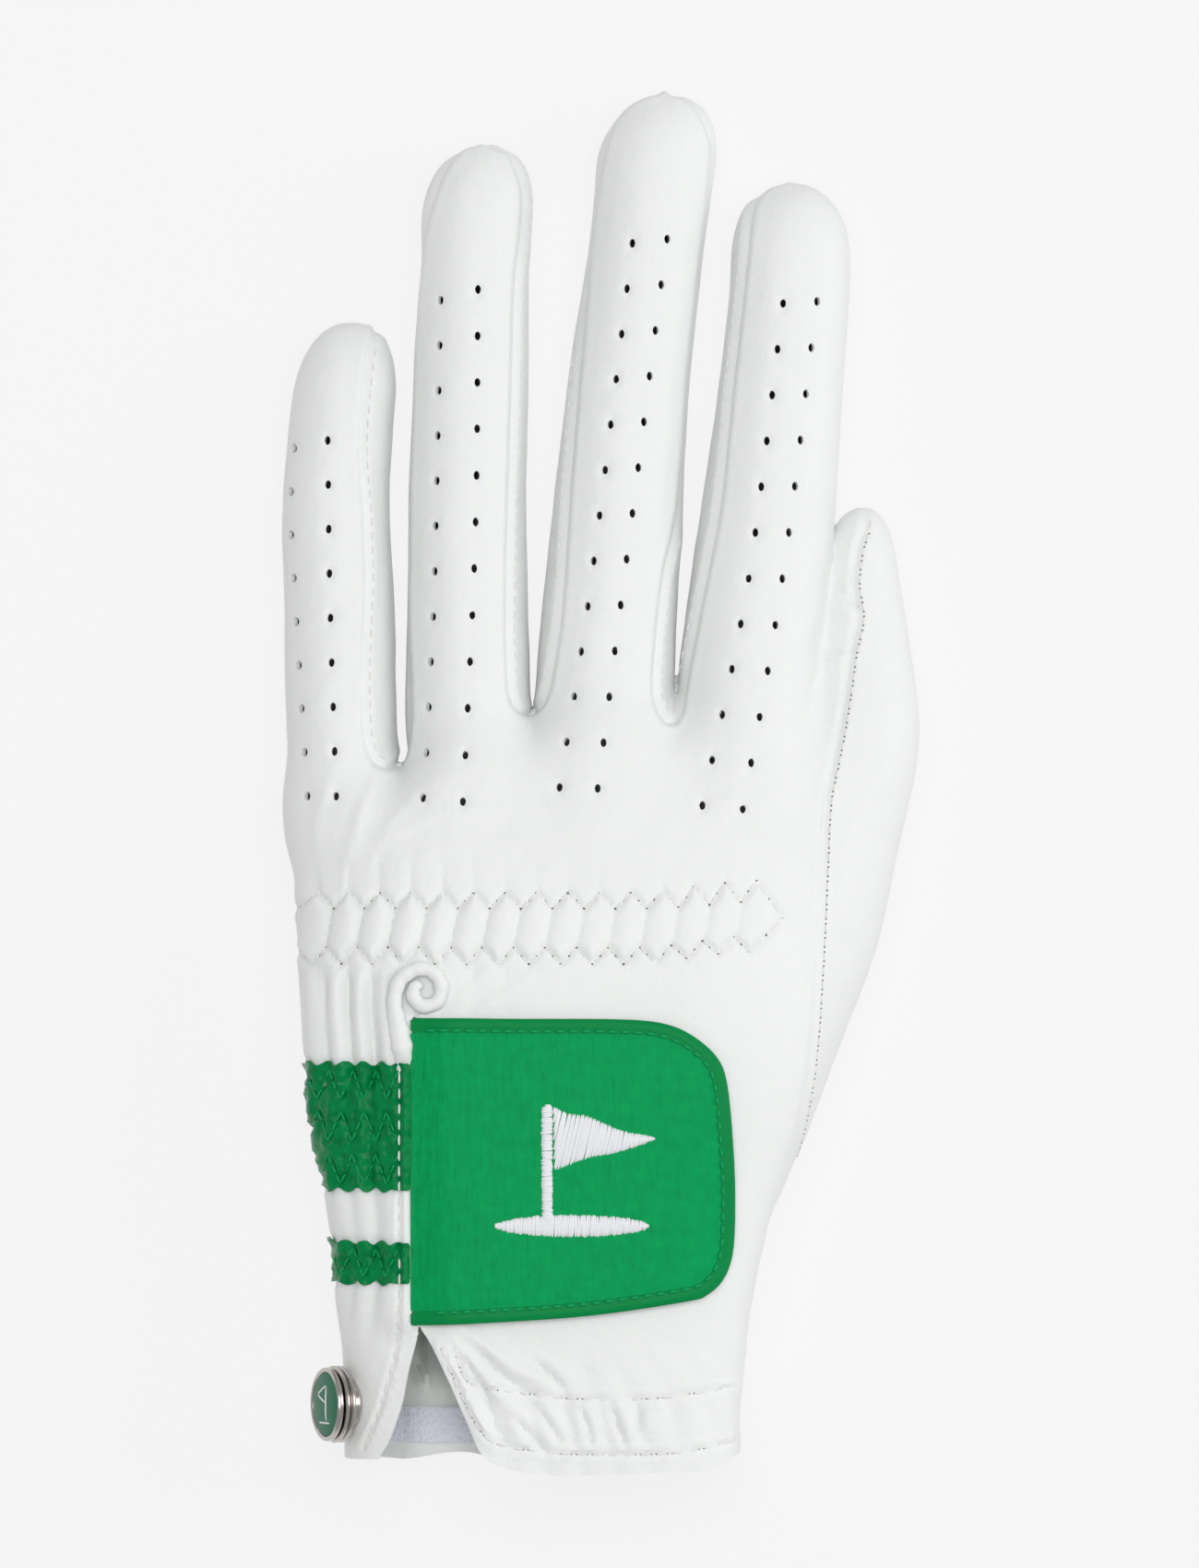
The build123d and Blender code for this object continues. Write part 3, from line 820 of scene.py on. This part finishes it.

# knuckle stitching, with dark dots of painted shade at the needle's holes
corners = []
for row in (UPPER, LOWER):
    for a, b in zip(row, row[1:]):
        corners.append(np.linspace(a, b, 3))
steps = np.concatenate([[(c[k], c[k + 1]) for k in range(2)] for c in corners])
inner = steps + (steps[:, ::-1] - steps) * 0.16
sew("knuckle_stitches", inner, 0.2, 0.05)
# dark dots of painted shade at the needle holes of the knuckle, thumb and hem stitching, set a little into
# the leather
PIT_SHADE_UNDER, PIT_SHADE_OVER = 0.2, 0.12
for name, pit_shade, radius in (("knuckle_pit_shade", steps, 0.28),
                           ("seam_pit_shade", np.concatenate([thumb_ends, hem_ends]), 0.16)):
    p, n = on_leather(np.unique(np.round(pit_shade.reshape(-1, 2), 3), axis=0))
    p, n = p[p[:, 2] > 13], n[p[:, 2] > 13]
    up = np.tile([0.0, 1.0, 0.0], (len(p), 1))
    pit_shade = threads(name, p - n * PIT_SHADE_UNDER, p + n * PIT_SHADE_OVER, up, radius, SHADOW, 8, 0.0)
    place(pit_shade, "glove", "white_leather")


def over_bands(y):
    """Height of the flap's stitches, which pass over the bands."""
    return 0.06 + 0.75 * sum((y < high) * (y > low) for high, low in BANDS.values())


sew("flap_stitches", dashes(FLAP_STITCH, 2.5, 1.7), 0.2, over_bands)


def patch(node, mesh, field, high, low, material, slot_name, extra=None, stands_in=True):
    """A layer cut from a leather mesh, between two heights over the finished leather."""
    v, t = part(mesh, field)[0]
    v = on_surface(v, 1)
    lift = relief(v) + (extra(*v.T) if extra else 0)
    piece = shell(node + ".look", (v, t), lift + high, lift + low, material)
    return place(piece, "glove", slot_name, *([node] if stands_in else []))


def box_field(x0, x1, y0, y1):
    """A field that is negative inside a plan box."""
    return lambda x, y, z: np.maximum(np.maximum(x0 - x, x - x1), np.maximum(y0 - y, y - y1))


def crumpled(x, y, z):
    """Loose folds of the palm's lining, inside the cuff."""
    return -2.6 * np.abs(waves(x, y * 0.7, 51, 7)) * ramp(-y, 70, 80) * (1 - ramp(-y, 98, 102)) * (z < 6)


upper, lower = part(whole, lambda x, y, z: 10.3 - z)
BELOW = -LEATHER - 0.05  # just under the leather
for name, box, slot_name, low in (
        ("knuckle_elastic", (-47, 29, -30.5, -16.5), "elastic", -0.6),
        ("side_elastic_upper", (-60, -37.6, -64, -47), "elastic", -0.6),
        ("side_elastic_lower", (-60, -37.6, -83, -68), "elastic", -0.6),
        ("tab_anchor", (-37.2, -33.2, -86, -41), "white_leather", -0.5),
        ("slit_edge_left", (-32.8, -30.6, -86, -37), "white_leather", -0.5),
        ("cuff_facing_back", (-16.0, 40, -111.4, -98.6), "lining_cloth", -0.4)):
    patch(name, upper, box_field(*box), BELOW, BELOW + low, LINING, slot_name)
for name, mesh, box, high, low, material, slot_name in (
        ("slit_edge_right", upper, (-29.2, -26.4, -86, -37), 0.5, 0.02, KID, "white_leather"),
        ("loop_patch", upper, (-22, 11, -80, -46), 0.75, 0.02, HOOKS, "loop_pile"),
        ("cuff_facing_palm", lower, (-60, 60, -112, -101), BELOW, -LEATHER - 0.4, KID, "lining_cloth"),
        ("wrist_terry_tape", lower, (-60, 60, -108.3, -102.6), -LEATHER - 0.42, -LEATHER - 1.7, TERRY,
         "terry")):
    patch(name, mesh, box_field(*box), high, low, material, slot_name)
patch("palm_lining", lower, box_field(-60, 60, -103.2, -70), -LEATHER - 0.5, -LEATHER - 0.9, LINING,
      "lining_cloth", crumpled, stands_in=False)

# bands, quilted by their zigzag stitching
for name, (y1, y0) in BANDS.items():
    rows = 3 if name == "band_wide" else 1
    tall = (y1 - y0) / rows
    zigs = [np.array([(-49.5 + 1.9 * k, y1 - row * tall - (1.0 if (k + row) % 2 else tall - 1.0))
                      for k in range(10)]) for row in range(rows)]

    def quilt(x, y, z):
        near = np.min([line_distance(zig, x, y) for zig in zigs], axis=0)
        return 0.15 - 0.5 * np.exp(-(near / 0.5) ** 2) + 0.3 * waves(x, y, 61, 2.2)

    def ruffle(x):
        return 0.4 * np.sin(x * 2.1) * ramp(-x, 31, 34)

    def strip(x, y, z):
        ends = np.maximum(y0 - y + ruffle(x + 1), y - y1 - ruffle(x))
        return np.maximum(np.maximum(x + 30.5, 14 - z), ends)

    patch(name, upper, strip, 0.6, 0.0, GLINT_PAINTED_FILM, "green_band", quilt)
    ends = []
    for zig in zigs:
        for a, b in zip(zig, zig[1:]):
            line = np.linspace(a, b, 4)
            ends += [np.stack([line[k] + (line[k + 1] - line[k]) * 0.1, line[k + 1]])[None] for k in range(3)]
    sew(name + "_stitches", ends, 0.2, 0.5, GREEN_THREAD, "green_band")

# ---- fastening tab
TAB = spline([(-30.6, -38.6), (-22.0, -38.6), (-13.9, -38.7), (3.7, -38.8), (10.9, -39.6), (15.6, -41.8),
              (19.2, -45.2), (20.7, -49.4), (21.6, -58.3), (22.0, -67.3), (21.7, -76.2), (20.2, -80.8),
              (17.4, -83.5), (14.0, -84.5), (-2.1, -86.8), (-19.9, -88.0), (-30.6, -88.4)], 0.6)
gx, gy = np.arange(-38, 30, 1.0), np.arange(-94, -32, 1.0)
plan = np.stack(np.meshgrid(gx, gy, indexing="ij"), -1).reshape(-1, 2)
ground = top_of(plan)[:, 2].reshape(len(gx), len(gy))
for _ in range(4):
    beside = ground[:-2, 1:-1] + ground[2:, 1:-1] + ground[1:-1, :-2] + ground[1:-1, 2:]
    ground[1:-1, 1:-1] = (beside + ground[1:-1, 1:-1]) / 5


def tab_under(x, y):
    """Height of the tab's underside."""
    i = np.clip((x - gx[0]).astype(int), 0, len(gx) - 2)
    j = np.clip((y - gy[0]).astype(int), 0, len(gy) - 2)
    u, w = x - gx[i], y - gy[j]
    z = ((1 - u) * (1 - w) * ground[i, j] + u * (1 - w) * ground[i + 1, j]
         + (1 - u) * w * ground[i, j + 1] + u * w * ground[i + 1, j + 1])
    return z + 0.35 + 1.15 * ramp(x, -30.5, -24) + 0.12 * waves(x, y, 71, 30)


def flat_net(x0, x1, y0, y1, step):
    """A flat triangle net in plan."""
    xs, ys = (np.linspace(a, b, int((b - a) / step) + 1) for a, b in ((x0, x1), (y0, y1)))
    v = np.stack(np.meshgrid(xs, ys, indexing="ij"), -1).reshape(-1, 2)
    i, j = np.meshgrid(np.arange(len(xs) - 1), np.arange(len(ys) - 1), indexing="ij")
    a = (i * len(ys) + j).ravel()
    b, c, d = a + len(ys), a + len(ys) + 1, a + 1
    t = np.concatenate([np.stack([a, b, c], 1), np.stack([a, c, d], 1)])
    return np.concatenate([v, np.zeros((len(v), 1))], 1), t


UP = np.array([0.0, 0.0, 1.0])


def tab_piece(node, field, low, high, material, slot_name, step, joined=False):
    """A layer of the tab where field is negative in plan, between heights over its underside."""
    v, t = flat_net(-31, 23, -90, -37, step * FINE)
    v, t = cut((v, t), field(v[:, 0], v[:, 1]))[0]
    x, y = v[:, 0], v[:, 1]
    v = np.stack([x, y, tab_under(x, y)], 1)
    top = high(x, y) if callable(high) else high
    piece = shell(node + ".look", (v, t), top, low, material, direction=np.tile(UP, (len(v), 1)), smooth=50)
    if joined:
        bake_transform(piece)
        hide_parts(node)
    else:
        place(piece, "tab", slot_name, node)


def edge_in(x, y):
    """Distance in plan inward from the tab's cut edge."""
    return line_distance(TAB, x, y)


def in_tab(x, y):
    """Signed distance in plan to the tab's outline, negative inside."""
    return area_distance(TAB, x, y)


TRIM_WIDE = 2.3


def face_high(x, y):
    """The face lies a little uneven and dips along the trim."""
    far = edge_in(x, y)
    return 0.95 + 0.10 * waves(x, y, 72, 22) * ramp(far, 2, 6) - 0.12 * np.exp(-((far - 2.7) / 0.6) ** 2)


def trim_high(x, y):
    """The trim is rounded at the cut edge and drawn in under its stitches."""
    far = edge_in(x, y)
    return 0.62 + 0.42 * np.sqrt(np.clip(far / 0.8, 0, 1)) - 0.22 * np.exp(-((far - 2.0) / 0.4) ** 2)


tab_piece("tab_face", lambda x, y: np.maximum(in_tab(x, y), TRIM_WIDE - edge_in(x, y)), 0.35, face_high,
          GREEN, "green_leather", 0.6, joined=True)
tab_piece("tab_edge_trim", lambda x, y: np.maximum(in_tab(x, y), edge_in(x, y) - TRIM_WIDE + 0.02), 0.30,
          trim_high, TRIM, "green_trim", 0.5, joined=True)
tab_piece("tab_lining", lambda x, y: in_tab(x, y) + 0.6, 0.02, 0.28, LINING, "lining_cloth", 1.5, joined=True)
tab_piece("tab_hook_patch", lambda x, y: np.maximum(np.abs(x + 5.5) - 15.5, np.abs(y + 63) - 16), -0.55, 0.0,
          HOOKS, "hook_tape", 2.0)
tab_piece("tab_stiffener", lambda x, y: np.maximum(in_tab(x, y) + 3.2, -26 - x), 0.285, 0.34,
          LINING, "stiffener_board", 2.0)


def on_tab(plan, lift):
    """Places at a height over the tab's underside."""
    x, y = np.asarray(plan, float).T
    return np.stack([x, y, tab_under(x, y) + lift], 1)


seam = aside(TAB, -2.0)
ends = dashes(seam[seam[:, 0] > -28.5], 2.1, 1.55)
a, b = on_tab(ends[:, 0], 0.98), on_tab(ends[:, 1], 0.98)
place(threads("tab_stitches", a, b, np.tile(UP, (len(a), 1)), 0.3, GREEN_THREAD), "tab", "green_trim")


def fill(outline, turn, pitch):
    """Lines side by side across an outline, all at one angle, as pairs of plan points."""
    c, s = math.cos(turn), math.sin(turn)
    p = np.array(outline) @ np.array([[c, -s], [s, c]])
    out = []
    for level in np.arange(p[:, 1].min() + pitch / 2, p[:, 1].max(), pitch):
        q = np.concatenate([p[1:], p[:1]])
        hit = (p[:, 1] > level) != (q[:, 1] > level)
        at = np.sort(p[hit, 0] + (q[hit, 0] - p[hit, 0]) * (level - p[hit, 1]) / (q[hit, 1] - p[hit, 1]))
        out += [[(a, level), (b, level)] for a, b in zip(at[::2], at[1::2])]
    return np.array(out) @ np.array([[c, s], [-s, c]])


# embroidery: a golf pennant on its pole, and the ground under it
rng = np.random.default_rng(5)
SATIN_PITCH = 0.34
ellipse = [(-4.5 + 12.5 * math.cos(t), -72.2 + 1.9 * math.sin(t))
           for t in np.linspace(0, 2 * np.pi, 60, endpoint=False)]
pennant = spline([(-7.4, -53.0), (-2.0, -54.2), (3.5, -56.6), (9.0, -58.0), (3.0, -60.4), (-2.0, -61.6),
                  (-7.4, -63.8)], 0.5)
pole = [(-9.5, -53.0), (-8.0, -52.4), (-7.5, -53.0), (-7.5, -71.6), (-9.4, -71.6)]
shapes = ((pennant, 1.35), (pole, 0.05), (ellipse, 1.5))
ends = np.concatenate([fill(outline, turn, SATIN_PITCH) for outline, turn in shapes])
ends = ends + rng.normal(0, 0.06, ends.shape)
a, b = on_tab(ends[:, 0], 1.05), on_tab(ends[:, 1], 1.05)
place(threads("tab_emblem.look", a, b, np.tile(UP, (len(a), 1)), 0.235, SATIN, 6, 0.9),
      "tab", "white_thread", "tab_emblem")

# ---- rolled end of the slit
path = spline([(-31.5, -48.5), (-31.7, -44.0), (-32.5, -39.5), (-33.2, -36.0), (-32.3, -32.6), (-29.6, -30.7),
               (-26.8, -31.3), (-25.6, -33.7), (-26.4, -36.0), (-28.6, -36.6), (-30.1, -35.1), (-29.7, -33.5),
               (-28.5, -33.6)], 0.35)
p, n = on_leather(path, 0.0)
p[:, 2] = np.maximum(p[:, 2] - 0.1, 34.0) - 1.6 * ramp(-p[:, 1], 43, 47)
way = np.gradient(p, axis=0)
way /= np.linalg.norm(way, axis=1)[:, None]
side = np.cross(way, UP)
k = np.arange(len(p))
wide = 1.2 + 0.5 * ramp(-p[:, 1], 35, 42)
wide = wide * np.sqrt(np.clip(np.minimum((k + 4) / 8, (len(p) - 1 - k) / 4), 0.02, 1))
wide *= 1 + 0.05 * np.sin(k * 0.9)
tall = 0.95 * np.minimum(wide, 1.25)
SIDES = 14
turns = np.linspace(0, 2 * np.pi, SIDES, endpoint=False)
rings = [p + side * (wide * math.cos(t))[:, None] + UP * (tall * math.sin(t) + 0.35)[:, None] for t in turns]
v = np.stack(rings, 1).reshape(-1, 3)
faces = []
for r in range(len(p) - 1):
    for c in range(SIDES):
        i, j = r * SIDES + c, r * SIDES + (c + 1) % SIDES
        faces.append((i, j, j + SIDES, i + SIDES))
faces += [tuple(range(SIDES - 1, -1, -1)), tuple(range(len(v) - SIDES, len(v)))]
place(make("slit_roll.look", v, faces, KID, 60), "glove", "white_leather", "slit_roll")

# ---- ball marker
LEAN = math.radians(66)
AXIS = np.array([-math.sin(LEAN), 0, math.cos(LEAN)])
SEAT = np.array([-41.10, -101.4, 27.47])
RIGHT, AHEAD = np.array([0, 1.0, 0]), np.cross(AXIS, [0, 1.0, 0])


def turned(node, profile, body, material, slot_name, segments=72):
    """A closed turned piece on the marker's axis from (radius, height) points."""
    v = [SEAT + AXIS * h + (RIGHT * math.cos(t) + AHEAD * math.sin(t)) * r
         for r, h in profile for t in np.linspace(0, 2 * np.pi, segments, endpoint=False)]
    faces = []
    for i in range(len(profile)):
        for j in range(segments):
            a, b = i * segments + j, i * segments + (j + 1) % segments
            c, d = (b + segments) % len(v), (a + segments) % len(v)
            faces.append((a, b, c, d))
    place(make(node + ".look", v, faces, material, 35), body, slot_name, node)


R0 = 0.001  # near enough to the axis
turned("rivet_washer", [(R0, -1.0), (3.9, -1.0), (4.3, -0.6), (4.3, 0.3), (4.1, 0.5), (R0, 0.5)],
       "glove", NICKEL, "nickel")
turned("rivet_post", [(R0, -0.9), (1.5, -0.9), (1.5, 1.7), (1.3, 1.9), (R0, 1.9)], "glove", NICKEL, "nickel")
turned("marker_socket", [(R0, 0.8), (5.7, 0.8), (6.1, 0.9), (6.25, 1.1), (6.25, 1.35), (6.05, 1.55),
                         (5.7, 1.65), (5.7, 1.75), (6.05, 1.85), (6.25, 2.05), (6.25, 2.3), (6.1, 2.5),
                         (5.8, 2.6), (3.7, 2.6), (3.7, 1.8), (R0, 1.8)], "socket", NICKEL, "nickel")
turned("socket_magnet", [(R0, 1.81), (3.6, 1.81), (3.6, 2.35), (3.5, 2.42), (R0, 2.42)],
       "socket", STEEL, "magnet_steel")
turned("marker_rim", [(R0, 2.9), (5.6, 2.9), (5.9, 3.0), (6.0, 3.2), (6.0, 3.55), (5.9, 3.8), (5.65, 3.95),
                      (5.4, 3.9), (5.2, 3.7), (5.15, 3.45), (R0, 3.45)], "marker", NICKEL, "nickel")
turned("marker_face", [(R0, 3.46), (5.12, 3.46), (5.12, 3.72), (4.4, 3.86), (3.0, 3.96), (1.5, 4.01),
                       (R0, 4.03)], "marker", ENAMEL, "green_enamel")
ENAMEL_TOP = 4.0
motif = np.array([[SEAT + AXIS * ENAMEL_TOP + RIGHT * q[0] + AHEAD * q[1] for q in line] for line in (
    ((-3.0, -0.9), (3.2, -0.9)), ((3.1, -0.8), (1.5, 2.6)), ((0.2, -0.8), (1.5, 2.6)),
    ((-3.0, -2.2), (-3.0, 2.2)))])
place(threads("marker_motif", motif[:, 0], motif[:, 1], np.tile(AXIS, (len(motif), 1)), 0.17, THREAD),
      "marker", "green_enamel")

# ---- floor, light, camera
floor_mesh = bpy.data.meshes.new("floor")
floor_mesh.from_pydata([(-3, -3, 0), (3, -3, 0), (3, 3, 0), (-3, 3, 0)], [], [(0, 1, 2, 3)])
floor = bpy.data.objects.new("floor", floor_mesh)
bpy.context.scene.collection.objects.link(floor)
seamless = bpy.data.materials.new("seamless")
seamless.use_nodes = True
paint = seamless.node_tree.nodes["Principled BSDF"].inputs
paint["Base Color"].default_value = (0.12, 0.12, 0.12, 1)
paint["Roughness"].default_value = 1.0
paint["Emission Color"].default_value = (1, 1, 1, 1)
paint["Emission Strength"].default_value = 0.79
floor_mesh.materials.append(seamless)
floor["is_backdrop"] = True


def lamp(name, location, size, power):
    """A soft square lamp that faces the glove and isn't seen itself; metres and watts."""
    data = bpy.data.lights.new(name, "AREA")
    data.shape, data.size, data.size_y, data.energy = "RECTANGLE", size[0], size[1], power
    obj = bpy.data.objects.new(name, data)
    bpy.context.scene.collection.objects.link(obj)
    obj.location = location
    way = Vector(location) - Vector((0, 0, 0.015))
    obj.rotation_euler = way.to_track_quat("Z", "Y").to_euler()
    obj.visible_camera = False


lamp("overhead", (0.05, 0.12, 1.3), (0.7, 0.7), 8)
lamp("side", (1.1, 0.2, 0.6), (0.6, 1.0), 4.5)
world = bpy.data.worlds.new("room")
world.use_nodes = True
sky = world.node_tree.nodes["Background"].inputs
sky["Color"].default_value = (1, 1, 1, 1)
sky["Strength"].default_value = 0.46
bpy.context.scene.world = world
bpy.context.scene.view_settings.view_transform = "Standard"

view = bpy.data.cameras.new("camera")
view.lens, view.sensor_width = 300, 36
camera = bpy.data.objects.new("camera", view)
camera.location = (0, -0.0007, 2.15)
bpy.context.scene.collection.objects.link(camera)
bpy.context.scene.camera = camera

low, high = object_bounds()
